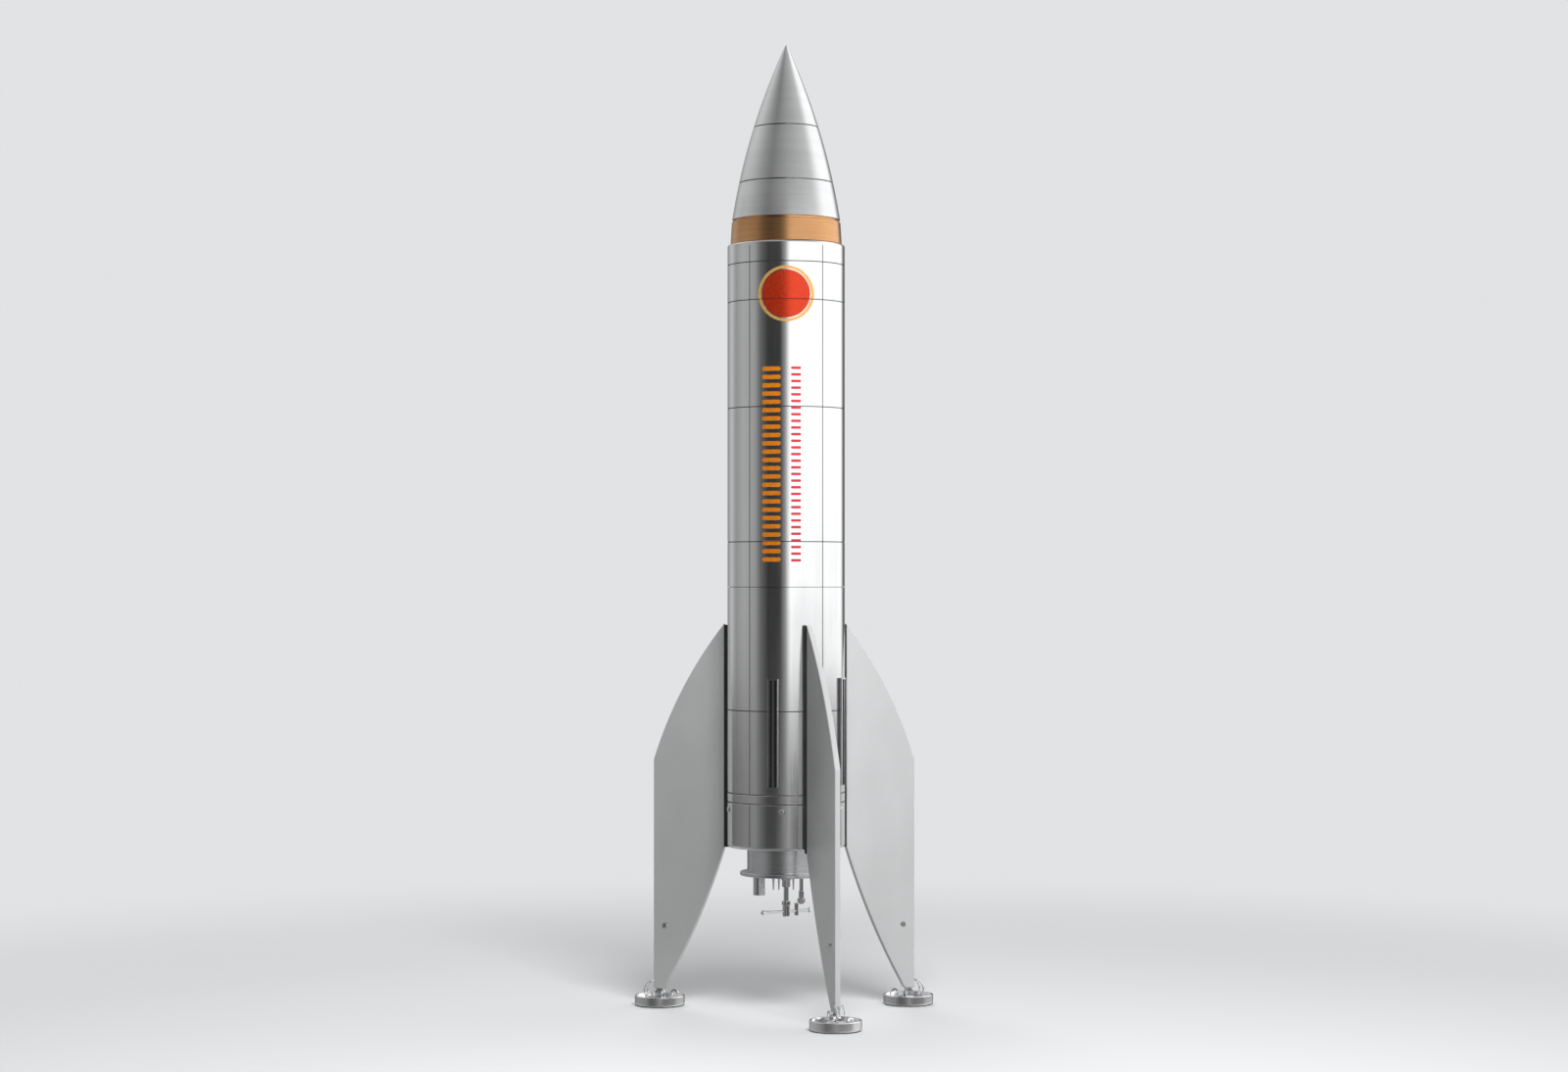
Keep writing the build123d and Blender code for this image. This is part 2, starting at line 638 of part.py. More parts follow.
def build_emblem():
    """A plain roundel: a disc inside a ring."""
    with BuildPart() as disc:
        with BuildSketch(Plane.XZ):
            with Locations((0, EMBLEM_Z)):
                Circle(EMBLEM_R - EMBLEM_RING_W - EMBLEM_GAP)
        extrude(amount=BODY_R + 1)
        keep_skin()
    write(disc.part, "emblem_disc")

    with BuildPart() as ring:
        with BuildSketch(Plane.XZ):
            with Locations((0, EMBLEM_Z)):
                Circle(EMBLEM_R)
                Circle(EMBLEM_R - EMBLEM_RING_W, mode=Mode.SUBTRACT)
        extrude(amount=BODY_R + 1)
        keep_skin()
    write(ring.part, "emblem_ring")


def build_stripe(name, station, width, bars):
    """An upright stripe made of short level bars."""
    pitch = (STRIPE_Z[1] - STRIPE_Z[0] + STRIPE_GAP) / bars
    bar_h = pitch - STRIPE_GAP
    with BuildPart() as stripe:
        with BuildSketch(Plane.XZ):
            with Locations((0, sum(STRIPE_Z) / 2)):
                with GridLocations(width, pitch, 1, bars):
                    RectangleRounded(width, bar_h, 0.4 * bar_h)
        extrude(amount=BODY_R + 1)
        keep_skin()
    write(stripe.part.rotate(Axis.Z, station), name)


# ---------------------------------------------------------------- tail end


def build_collar_and_hatch():
    with BuildPart() as collar:
        add_ring(COLLAR_BORE_R, COLLAR_R, HATCH_TOP_Z, SKIRT_BOTTOM_Z)
        add_ring(COLLAR_BORE_R, COLLAR_SPIGOT_R, SKIRT_BOTTOM_Z, SKIRT_BOTTOM_Z + SKIRT_FLOOR_T + 1)
    write(collar.part, "tail_collar")

    bottom_z = HATCH_TOP_Z - HATCH_T
    with BuildPart() as hatch:
        add_disc(HATCH_R, bottom_z, HATCH_TOP_Z - GLUE)
        fillet(hatch.edges().filter_by(GeomType.CIRCLE), 0.5)
        add_ring(COLLAR_BORE_R - 2, COLLAR_BORE_R - 0.1, HATCH_TOP_Z - 1, HATCH_TOP_Z + 2)
        with BuildSketch(Plane.XY.offset(bottom_z)):
            Circle(SPINDLE_HOLE_R)
            with Locations(EXHAUST_AT):
                Circle(EXHAUST_R)
            with Locations(VENT_AT):
                Circle(VENT_R)
            with Locations(PINS_AT):
                Circle(PIN_R)
        extrude(amount=HATCH_T, mode=Mode.SUBTRACT)
    write(hatch.part, "tail_hatch")


def build_hatch_fittings():
    hatch_z = HATCH_TOP_Z - HATCH_T
    with BuildPart() as gland:
        with BuildSketch(Plane.XY.offset(hatch_z)):
            RegularPolygon(GLAND_R, 6)
        extrude(amount=-3)
        add_disc(GLAND_R - 0.5, GLAND_BOTTOM_Z, hatch_z - 3)
        cut_bore(SPINDLE_HOLE_R, GLAND_BOTTOM_Z, hatch_z)
    write(gland.part, "spindle_gland")

    with BuildPart() as exhaust:
        with BuildSketch(Plane.XY.offset(EXHAUST_BOTTOM_Z)):
            with Locations(EXHAUST_AT):
                Circle(EXHAUST_R - GLUE / 2)
                Circle(EXHAUST_R - EXHAUST_WALL, mode=Mode.SUBTRACT)
        extrude(amount=HATCH_TOP_Z - EXHAUST_BOTTOM_Z)
    write(exhaust.part, "exhaust_stub")

    with BuildPart() as pins:
        with BuildSketch(Plane.XY.offset(hatch_z)):
            with Locations(PINS_AT):
                Circle(PIN_R)
        extrude(amount=PIN_BOTTOM_Z - hatch_z, taper=2.5)
        with BuildSketch(Plane.XY.offset(hatch_z)):
            with Locations(PINS_AT):
                Circle(PIN_R - GLUE / 2)
        extrude(amount=HATCH_T)
    write(pins.part, "igniter_pins")

    with BuildPart() as pipe:
        with BuildSketch(Plane.XY.offset(VENT_BOTTOM_Z)):
            with Locations(VENT_AT):
                Circle(VENT_SLEEVE_R)
        extrude(amount=VENT_SLEEVE_TOP_Z - VENT_BOTTOM_Z)
        fillet(pipe.edges().filter_by(GeomType.CIRCLE), 0.25)
        with BuildSketch(Plane.XY.offset(VENT_BOTTOM_Z + 1)):
            with Locations(VENT_AT):
                Circle(VENT_R - GLUE / 2)
        extrude(amount=HATCH_TOP_Z - VENT_BOTTOM_Z - 1)
        with BuildSketch(Plane.XY.offset(VENT_BOTTOM_Z)):
            with Locations(VENT_AT):
                Circle(VENT_R / 2)
        extrude(amount=HATCH_TOP_Z - VENT_BOTTOM_Z, mode=Mode.SUBTRACT)
    write(pipe.part, "vent_pipe")

    with BuildPart() as nut:
        with BuildSketch(Plane.XY.offset(VENT_NUT_Z[0])):
            with Locations(VENT_AT):
                RegularPolygon(VENT_NUT_R, 6)
                Circle(VENT_SLEEVE_R, mode=Mode.SUBTRACT)
        extrude(amount=VENT_NUT_Z[1] - VENT_NUT_Z[0])
    write(nut.part, "vent_nut")


def build_t_handle():
    """A threaded spindle that holds the hatch on, turned by a bar through its hub."""
    bar_axis = Axis((0, 0, BAR_Z), (1, 0, 0))
    with BuildPart() as spindle:
        add_disc(HUB_R, *HUB_Z)
        chamfer(spindle.edges().filter_by(GeomType.CIRCLE), 0.4)
        add_disc(COLLET_R, *COLLET_Z)
        add_disc(SPINDLE_R, COLLET_Z[1], SPINDLE_TOP_Z)
        chamfer(spindle.edges().group_by(Axis.Z)[-1], 0.4)
        with BuildSketch(Plane.YZ):
            with Locations((0, BAR_Z)):
                Circle(BAR_NECK_R)
        extrude(amount=2 * HUB_R, both=True, mode=Mode.SUBTRACT)
    write(to_station(spindle.part, BAR_STATION), "t_handle_spindle")

    with BuildPart() as bar:
        for end in (-1, 1):
            with BuildSketch(Plane.XZ):
                Polygon(
                    (0, BAR_Z),
                    (0, BAR_Z + BAR_NECK_R - GLUE / 2),
                    (end * (HUB_R + 0.2), BAR_Z + BAR_NECK_R - GLUE / 2),
                    (end * BAR_REACH, BAR_Z + BAR_END_R),
                    (end * BAR_REACH, BAR_Z),
                    align=None,
                )
            revolve(axis=bar_axis)
        with Locations((-BAR_REACH, 0, BAR_Z), (BAR_REACH, 0, BAR_Z)):
            Sphere(BALL_R)
    write(to_station(bar.part, BAR_STATION), "t_handle_bar")

    with BuildPart() as pinch:
        with BuildSketch(Plane.XY.offset(PINCH_SCREW_Z[0])):
            with Locations((PINCH_SCREW_OUT, 0)):
                Circle(PINCH_SCREW_R)
        extrude(amount=PINCH_SCREW_Z[1] - PINCH_SCREW_Z[0])
        chamfer(pinch.edges().filter_by(GeomType.CIRCLE), 0.3)
        with BuildSketch(Plane.YZ.offset(PINCH_SCREW_OUT)):
            with Locations((0, BAR_Z)):
                Circle(BAR_END_R - 0.1)
        extrude(amount=2 * PINCH_SCREW_R, both=True, mode=Mode.SUBTRACT)
    write(to_station(pinch.part, BAR_STATION), "t_handle_pinch_screw")


# ---------------------------------------------------------------- feet


def build_pad(place, station):
    """A dished pad with a recess for its sole below, and a lug for its bail above."""
    recess_r = SOLE_R + GLUE
    with BuildPart() as pad:
        with BuildSketch(Plane.XZ):
            Polygon(
                (0, SOLE_T),
                (recess_r, SOLE_T),
                (recess_r, PAD_Z[0]),
                (PAD_R, PAD_Z[0]),
                (PAD_R, PAD_Z[1]),
                (DISH_R, PAD_Z[1]),
                (DISH_FLOOR_R, DISH_Z),
                (0, DISH_Z),
                align=None,
            )
        revolve(axis=Axis.Z)
        circles = pad.edges().filter_by(GeomType.CIRCLE).group_by(Axis.Z)
        fillet(circles[0].sort_by(SortBy.RADIUS)[-1], PAD_FOOT_FILLET)
        fillet(circles[-1], PAD_RIM_FILLET)
        with BuildSketch(Plane.XZ):
            with Locations(BAIL_HINGE):
                Circle(LUG_R)
                Rectangle(2 * LUG_R, BAIL_HINGE[1] - DISH_Z + 0.2, align=(Align.CENTER, Align.MAX))
        extrude(amount=LUG_W / 2, both=True)
        with BuildSketch(Plane.XZ):
            with Locations(BAIL_HINGE):
                Circle(LUG_HOLE_R)
        extrude(amount=LUG_W, both=True, mode=Mode.SUBTRACT)
    write(to_foot(pad.part, station), f"foot_pad_{place}")


def build_sole(place, station):
    with BuildPart() as sole:
        add_disc(SOLE_R, 0, SOLE_T)
    write(to_foot(sole.part, station), f"foot_sole_{place}")


def build_bracket(place, station):
    """Two ears either side of the fin's tongue, and inboard an eye to tie the rocket down."""
    base_top_z = DISH_Z + BRACKET_T
    with BuildPart() as bracket:
        with BuildSketch(Plane.XZ):
            with Locations((0, PIVOT_Z)):
                Circle(EAR_R)
                Rectangle(2 * EAR_R, PIVOT_Z - DISH_Z, align=(Align.CENTER, Align.MAX))
                Circle(PIVOT_HOLE_R, mode=Mode.SUBTRACT)
        extrude(amount=TONGUE_T / 2 + EAR_GAP + EAR_T, both=True)
        with BuildSketch(Plane.XZ):
            with Locations((0, base_top_z)):
                Rectangle(4 * EAR_R, PIVOT_Z, align=(Align.CENTER, Align.MIN))
        extrude(amount=TONGUE_T / 2 + EAR_GAP, both=True, mode=Mode.SUBTRACT)
        with BuildSketch(Plane.XY.offset(DISH_Z)):
            Circle(BRACKET_R)
            with Locations((TIE_EYE_AT[0], 0)):
                Rectangle(-TIE_EYE_AT[0], 2 * TIE_EYE_R, align=(Align.MIN, Align.CENTER))
                Circle(TIE_EYE_R)
        extrude(amount=BRACKET_T)
        with BuildSketch(Plane.XZ):
            with Locations(TIE_EYE_AT):
                Circle(TIE_EYE_R)
                Rectangle(2 * TIE_EYE_R, TIE_EYE_AT[1] - DISH_Z, align=(Align.CENTER, Align.MAX))
        extrude(amount=TIE_EYE_T / 2, both=True)
        with BuildSketch(Plane.XZ):
            with Locations(TIE_EYE_AT):
                Circle(TIE_EYE_HOLE_R)
        extrude(amount=2 * TIE_EYE_R, both=True, mode=Mode.SUBTRACT)
    write(to_foot(bracket.part, station), f"foot_bracket_{place}")


def build_pivot_pins():
    """Pins pressed through the fins' tongues, on which the feet tilt."""
    with BuildPart() as pin:
        with BuildSketch(Plane.XZ):
            with Locations((0, PIVOT_Z)):
                Circle(PIVOT_R)
        extrude(amount=TONGUE_T / 2 + EAR_GAP + EAR_T + 0.4, both=True)
        chamfer(pin.edges().filter_by(GeomType.CIRCLE), 0.2)
    write_under_fins(pin.part, "foot_pivot_pins", turn=to_foot)


def build_bail(place, station):
    """A wire loop: a hinge bar in the pad's lug, two bowed legs and a bar near the fin's edge."""
    hinge, bow, end = [Vector(out, 0, up) for out, up in (BAIL_HINGE, BAIL_BOW, BAIL_END)]
    with BuildPart() as bail:
        with BuildSketch(Plane.XZ):
            with Locations(BAIL_HINGE, BAIL_END):
                Circle(WIRE_R)
        extrude(amount=BAIL_HALF_W, both=True)
        for side in (-1, 1):
            aside = Vector(0, side * BAIL_HALF_W, 0)
            with BuildLine() as leg:
                ThreePointArc(hinge + aside, bow + aside, end + aside)
            with BuildSketch(Plane(origin=leg.line @ 0, z_dir=leg.line % 0)):
                Circle(WIRE_R)
            sweep(path=leg.line)
            with Locations(hinge + aside, end + aside):
                Sphere(WIRE_R)
    write(to_foot(bail.part, station), f"foot_bail_{place}")


def build_feet():
    for place, station in FIN_STATIONS.items():
        build_pad(place, station)
        build_sole(place, station)
        build_bracket(place, station)
        build_bail(place, station)
    build_pivot_pins()


os.makedirs("parts", exist_ok=True)
build_nose_sections()
build_nose_band()
build_nose_shoulder()
build_nose_inside()
build_eye("nose_eye", SHOULDER_BOTTOM_Z, -1)
build_eye("harness_eye", BAFFLE_Z + BAFFLE_T, 1)
build_tubes()
build_couplers()
build_parachute()
build_motor_mount()
build_fins()
build_fin_rails()
build_fin_tongues()
build_guides()
build_skirt_screws()
build_emblem()
build_stripe("wide_stripe", WIDE_STRIPE_STATION, WIDE_STRIPE_W, WIDE_STRIPE_BARS)
build_stripe("narrow_stripe", NARROW_STRIPE_STATION, NARROW_STRIPE_W, NARROW_STRIPE_BARS)
build_collar_and_hatch()
build_hatch_fittings()
build_t_handle()
build_feet()
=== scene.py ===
from math import cos, exp, pi, radians, sin, sqrt

import bmesh
import bpy
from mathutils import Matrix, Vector


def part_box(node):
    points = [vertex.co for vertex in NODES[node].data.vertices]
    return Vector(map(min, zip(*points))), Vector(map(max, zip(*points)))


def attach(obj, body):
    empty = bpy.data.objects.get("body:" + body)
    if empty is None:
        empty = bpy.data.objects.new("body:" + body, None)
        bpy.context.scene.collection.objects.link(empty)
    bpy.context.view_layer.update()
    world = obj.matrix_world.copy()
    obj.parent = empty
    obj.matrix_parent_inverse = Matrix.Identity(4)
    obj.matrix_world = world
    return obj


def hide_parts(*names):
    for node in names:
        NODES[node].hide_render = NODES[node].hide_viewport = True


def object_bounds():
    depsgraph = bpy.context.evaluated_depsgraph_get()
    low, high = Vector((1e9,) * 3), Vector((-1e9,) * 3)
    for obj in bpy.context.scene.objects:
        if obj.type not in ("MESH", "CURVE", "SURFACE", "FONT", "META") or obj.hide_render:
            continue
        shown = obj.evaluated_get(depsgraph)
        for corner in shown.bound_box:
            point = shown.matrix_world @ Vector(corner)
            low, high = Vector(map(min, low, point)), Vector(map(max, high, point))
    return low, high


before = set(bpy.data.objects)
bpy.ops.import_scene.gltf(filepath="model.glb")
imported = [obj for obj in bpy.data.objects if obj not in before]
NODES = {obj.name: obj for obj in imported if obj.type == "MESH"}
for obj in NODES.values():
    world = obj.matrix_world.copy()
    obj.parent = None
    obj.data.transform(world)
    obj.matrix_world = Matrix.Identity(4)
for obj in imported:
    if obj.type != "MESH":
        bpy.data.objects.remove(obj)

# Looks for the model rocket. Metres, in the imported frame: +Z up, decals facing -Y.
# A station is an angle about +Z from the decals' side, positive towards +X.

MM = 0.001
CAD_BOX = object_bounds()

BODY_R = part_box("fin_can")[1].x
TUBE_WALL = 1.2 * MM
BORE_R = BODY_R - TUBE_WALL
TUBE_TOP_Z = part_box("body_tube")[1].z
SKIRT_BOTTOM_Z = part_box("aft_skirt")[0].z
RING_LINES_Z = (0.2647, 0.3396, 0.3991, 0.4201)  # engraved lines that run under the decals
LINE_HALF_W = 0.3 * MM

# Camera: level, in front of the decals, a little below the middle
CAMERA_AT = (-0.0012, -1.779, 0.2442)
CAMERA_LENS = 72.5
CAMERA_SHIFT_Y = 0.0272

# Floor and backdrop
BACKDROP = (0.76, 0.765, 0.775)
FLOOR_ALBEDO = (0.42, 0.423, 0.429)
FLOOR_R = 6.0
FLOOR_SIDES = 64
FLOOR_FADE = (0.30, 0.85)  # distances from the axis over which the floor turns into the backdrop


def set_input(tree, socket, value):
    """Sets a socket, or links it from another."""
    if isinstance(value, bpy.types.NodeSocket):
        tree.links.new(value, socket)
    else:
        socket.default_value = value


def add_node(tree, kind, settings=None, **inputs):
    """Adds a shader node. Underscores in an input's name stand for spaces."""
    made = tree.nodes.new("ShaderNode" + kind)
    for name, value in (settings or {}).items():
        setattr(made, name, value)
    for name, value in inputs.items():
        set_input(tree, made.inputs[name.replace("_", " ")], value)
    return made


def math(tree, operation, *values):
    made = tree.nodes.new("ShaderNodeMath")
    made.operation = operation
    for socket, value in zip(made.inputs, values):
        set_input(tree, socket, value)
    return made.outputs[0]


def step(tree, value, low, high, out_low=0.0, out_high=1.0):
    """Goes smoothly from one number to another as a value passes from low to high."""
    made = add_node(tree, "MapRange", {"interpolation_type": "SMOOTHSTEP"}, Value=value)
    made.inputs["From Min"].default_value = low
    made.inputs["From Max"].default_value = high
    made.inputs["To Min"].default_value = out_low
    made.inputs["To Max"].default_value = out_high
    return made.outputs[0]


def mix_colors(tree, factor, first, second):
    """Blends two colours, which are (r, g, b) or sockets."""
    made = tree.nodes.new("ShaderNodeMix")
    made.data_type = "RGBA"
    factor_in, first_in, second_in = made.inputs[0], made.inputs[6], made.inputs[7]
    set_input(tree, factor_in, factor)
    set_input(tree, first_in, first if isinstance(first, bpy.types.NodeSocket) else (*first, 1))
    set_input(tree, second_in, second if isinstance(second, bpy.types.NodeSocket) else (*second, 1))
    return made.outputs[2]


def mix_numbers(tree, factor, first, second):
    made = tree.nodes.new("ShaderNodeMix")
    for socket, value in zip(made.inputs[0:1] + made.inputs[2:4], (factor, first, second)):
        set_input(tree, socket, value)
    return made.outputs[0]


def place(tree):
    """The point's place on the object: a vector, and x, y, z."""
    at = tree.nodes.new("ShaderNodeTexCoord").outputs["Object"]
    parts = add_node(tree, "SeparateXYZ", Vector=at)
    return at, parts.outputs[0], parts.outputs[1], parts.outputs[2]


def radius(tree):
    """The point's distance from the rocket's axis."""
    _, x, y, _ = place(tree)
    flat = add_node(tree, "CombineXYZ", X=x, Y=y)
    return add_node(tree, "VectorMath", {"operation": "LENGTH"}, Vector=flat.outputs[0]).outputs["Value"]


def noise(tree, at, per_metre, detail=2.0, roughness=0.5):
    """Noise from 0 to 1, with its own number of features to the metre along x, y and z."""
    scaled = add_node(tree, "VectorMath", {"operation": "MULTIPLY"})
    set_input(tree, scaled.inputs[0], at)
    set_input(tree, scaled.inputs[1], per_metre)
    made = add_node(tree, "TexNoise", Vector=scaled.outputs[0], Scale=1.0, Detail=detail, Roughness=roughness)
    return made.outputs[0]


def bump(tree, height, strength, depth):
    made = add_node(tree, "Bump", Height=height, Strength=strength, Distance=depth)
    return made.outputs[0]


def principled(name, **inputs):
    """A new material with its tree and its shader, with the given sockets set."""
    material = bpy.data.materials.new(name)
    material.use_nodes = True
    tree = material.node_tree
    shader = tree.nodes["Principled BSDF"]
    for socket, value in inputs.items():
        shader.inputs[socket.replace("_", " ")].default_value = value
    return material, tree, shader.inputs


# ---------------------------------------------------------------- studio


def make_camera():
    data = bpy.data.cameras.new("camera")
    data.lens = CAMERA_LENS
    data.shift_y = CAMERA_SHIFT_Y
    data.clip_start = 0.01
    data.clip_end = 100
    camera = bpy.data.objects.new("camera", data)
    camera.location = CAMERA_AT
    camera.rotation_euler = (pi / 2, 0, 0)
    bpy.context.scene.collection.objects.link(camera)
    bpy.context.scene.camera = camera


# What the metal reflects, as (station, level): softboxes, grey walls and dark flags.
# LOW_WALL is seen by the tail, STUDIO_WALL by the body and HIGH_WALL by the nose.
LOW_WALL = (
    (-180, 0.12),
    (-138, 0.12),
    (-113, 0.18),
    (-64, 0.26),
    (-51, 0.15),
    (-36, 0.06),
    (-20, 0.07),
    (-6, 0.20),
    (5, 0.28),
    (14, 0.14),
    (26, 0.06),
    (60, 0.08),
    (130, 0.22),
    (180, 0.12),
)
STUDIO_WALL = (
    (-180, 0.20),
    (-150, 0.40),
    (-136, 0.62),
    (-116, 0.36),
    (-94, 0.48),
    (-64, 0.40),
    (-52, 0.15),
    (-36, 0.04),
    (-11, 0.045),
    (-1, 0.36),
    (8, 1.45),
    (136, 1.30),
    (150, 0.12),
    (180, 0.20),
)
HIGH_WALL = (
    (-180, 0.50),
    (-120, 0.72),
    (-65, 0.33),
    (-42, 0.23),
    (-6, 0.38),
    (31, 0.50),
    (70, 0.66),
    (94, 1.30),
    (136, 1.35),
    (156, 0.50),
    (180, 0.50),
)
OVERHEAD = 0.50
GROUND = 0.64  # the ground's share of HIGH_WALL
# Where one level of the studio gives way to the next, as heights on a unit sphere
GROUND_TO_LOW = (-0.150, -0.118)
LOW_TO_MIDDLE = (-0.052, -0.024)
MIDDLE_TO_HIGH = (0.05, 0.50)
HIGH_TO_OVERHEAD = (0.75, 0.95)


def wall_level(tree, along, levels):
    """The wall's level at a place along it, which goes from 0 to 1 all the way round."""
    ramp = tree.nodes.new("ShaderNodeValToRGB")
    tree.links.new(along, ramp.inputs[0])
    stops = ramp.color_ramp.elements
    while len(stops) < len(levels):
        stops.new(0.5)
    brightest = max(level for _, level in levels)
    for stop, (station, level) in zip(stops, levels):
        stop.position = station / 360 + 0.5
        stop.color = (level / brightest,) * 3 + (1,)
    return math(tree, "MULTIPLY", ramp.outputs[0], brightest)


def make_world():
    """A plain pale backdrop. Reflections and light come from softbox walls with grey and dark stretches."""
    world = bpy.data.worlds.new("studio")
    world.use_nodes = True
    tree = world.node_tree
    at = tree.nodes.new("ShaderNodeTexCoord").outputs["Generated"]
    parts = add_node(tree, "SeparateXYZ", Vector=at)
    behind = math(tree, "MULTIPLY", parts.outputs[1], -1.0)
    turn = math(tree, "ARCTAN2", parts.outputs[0], behind)
    along = math(tree, "MULTIPLY_ADD", turn, 1 / (2 * pi), 0.5)
    up = parts.outputs[2]
    high = wall_level(tree, along, HIGH_WALL)
    lit = math(tree, "MULTIPLY", high, GROUND)
    lit = mix_numbers(tree, step(tree, up, *GROUND_TO_LOW), lit, wall_level(tree, along, LOW_WALL))
    lit = mix_numbers(tree, step(tree, up, *LOW_TO_MIDDLE), lit, wall_level(tree, along, STUDIO_WALL))
    lit = mix_numbers(tree, step(tree, up, *MIDDLE_TO_HIGH), lit, high)
    lit = mix_numbers(tree, step(tree, up, *HIGH_TO_OVERHEAD), lit, OVERHEAD)
    seen = tree.nodes.new("ShaderNodeLightPath").outputs["Is Camera Ray"]
    shown = mix_colors(tree, seen, lit, BACKDROP)
    background = tree.nodes["Background"]
    tree.links.new(shown, background.inputs["Color"])
    bpy.context.scene.world = world
    world.cycles.sampling_method = "MANUAL"
    world.cycles.sample_map_resolution = 512


def make_floor():
    """A pale floor that takes shadows and fades into the backdrop. It sends no light back to the rocket."""
    material = bpy.data.materials.new("floor")
    material.use_nodes = True
    tree = material.node_tree
    tree.nodes.remove(tree.nodes["Principled BSDF"])
    at, _, _, _ = place(tree)
    from_axis = add_node(tree, "VectorMath", {"operation": "LENGTH"}, Vector=at).outputs["Value"]
    matt = add_node(tree, "BsdfDiffuse", Color=(*FLOOR_ALBEDO, 1))
    far = add_node(tree, "Emission", Color=(*BACKDROP, 1))
    both = add_node(tree, "MixShader", Fac=step(tree, from_axis, *FLOOR_FADE))
    tree.links.new(matt.outputs[0], both.inputs[1])
    tree.links.new(far.outputs[0], both.inputs[2])
    tree.links.new(both.outputs[0], tree.nodes["Material Output"].inputs["Surface"])
    mesh = bpy.data.meshes.new("floor")
    turns = [2 * pi * side / FLOOR_SIDES for side in range(FLOOR_SIDES)]
    rim = [(FLOOR_R * cos(turn), FLOOR_R * sin(turn), 0) for turn in turns]
    mesh.from_pydata(rim, [], [list(range(FLOOR_SIDES))])
    mesh.materials.append(material)
    floor = bpy.data.objects.new("floor", mesh)
    floor.visible_diffuse = False
    floor.visible_glossy = False
    bpy.context.scene.collection.objects.link(floor)


def make_light(name, at, size, power):
    """A rectangular softbox that faces the middle of the rocket."""
    data = bpy.data.lights.new(name, "AREA")
    data.shape = "RECTANGLE"
    data.size, data.size_y = size
    data.energy = power
    light = bpy.data.objects.new(name, data)
    light.location = at
    middle = (CAD_BOX[0] + CAD_BOX[1]) / 2
    light.rotation_euler = (Vector(at) - middle).to_track_quat("Z", "Y").to_euler()
    light.visible_camera = False
    light.visible_glossy = False
    bpy.context.scene.collection.objects.link(light)


# ---------------------------------------------------------------- metals


def brushed_metal(name, light, dark, roughness, streaks, lines, depth):
    """Satin metal. Streaks are broad and faint, and lines are the fine brush marks."""
    material, tree, inputs = principled(name, Metallic=1.0)
    at, _, _, _ = place(tree)
    broad = noise(tree, at, streaks, detail=3.0)
    fine = noise(tree, at, lines, detail=3.0, roughness=0.6)
    cloud = noise(tree, at, (28, 28, 22), detail=4.0, roughness=0.6)
    tone = math(tree, "MULTIPLY_ADD", fine, 0.35, math(tree, "MULTIPLY", broad, 0.65))
    tree.links.new(mix_colors(tree, step(tree, tone, 0.3, 0.7), dark, light), inputs["Base Color"])
    worn = math(tree, "MULTIPLY_ADD", cloud, 0.5, math(tree, "MULTIPLY", fine, 0.5))
    rough = step(tree, worn, 0.3, 0.7, roughness[0], roughness[1])
    tree.links.new(rough, inputs["Roughness"])
    tree.links.new(bump(tree, fine, 0.25, depth), inputs["Normal"])
    return material, tree, inputs


def make_airframe_metal():
    """Lengthwise brushed tube, with painted shade, near black, in the engraved lines and seams."""
    material, tree, inputs = brushed_metal(
        "airframe_metal",
        light=(0.80, 0.805, 0.81),
        dark=(0.74, 0.745, 0.75),
        roughness=(0.09, 0.16),
        streaks=(200, 200, 3),
        lines=(2200, 2200, 25),
        depth=0.008 * MM,
    )
    _, _, _, z = place(tree)
    r = radius(tree)
    below_skin = step(tree, r, BODY_R - 0.22 * MM, BODY_R - 0.08 * MM, 1, 0)
    outside_bore = step(tree, r, BORE_R + 0.05 * MM, BORE_R + 0.1 * MM)
    below_lip = step(tree, z, TUBE_TOP_Z - 1.6 * MM, TUBE_TOP_Z - 1.4 * MM, 1, 0)
    above_floor = step(tree, z, SKIRT_BOTTOM_Z + 1.8 * MM, SKIRT_BOTTOM_Z + 2.0 * MM)
    # Painted shade: inside the engraved lines and seams the tube turns near black, matt and hardly metallic.
    painted_groove_shade = math(
        tree,
        "MULTIPLY",
        math(tree, "MULTIPLY", below_skin, outside_bore),
        math(tree, "MULTIPLY", below_lip, above_floor),
    )
    base_tone = inputs["Base Color"].links[0].from_socket
    tree.links.new(mix_colors(tree, painted_groove_shade, base_tone, (0.03, 0.03, 0.032)), inputs["Base Color"])
    tree.links.new(mix_numbers(tree, painted_groove_shade, 1.0, 0.1), inputs["Metallic"])
    smooth = inputs["Roughness"].links[0].from_socket
    tree.links.new(mix_numbers(tree, painted_groove_shade, smooth, 0.7), inputs["Roughness"])
    return material


def make_nose_metal():
    return brushed_metal(
        "nose_metal",
        light=(0.76, 0.765, 0.77),
        dark=(0.71, 0.715, 0.72),
        roughness=(0.17, 0.26),
        streaks=(25, 25, 300),
        lines=(50, 50, 4000),
        depth=0.006 * MM,
    )[0]


def make_copper():
    return brushed_metal(
        "copper_band",
        light=(0.70, 0.38, 0.18),
        dark=(0.60, 0.31, 0.135),
        roughness=(0.18, 0.28),
        streaks=(30, 30, 600),
        lines=(60, 60, 5000),
        depth=0.01 * MM,
    )[0]


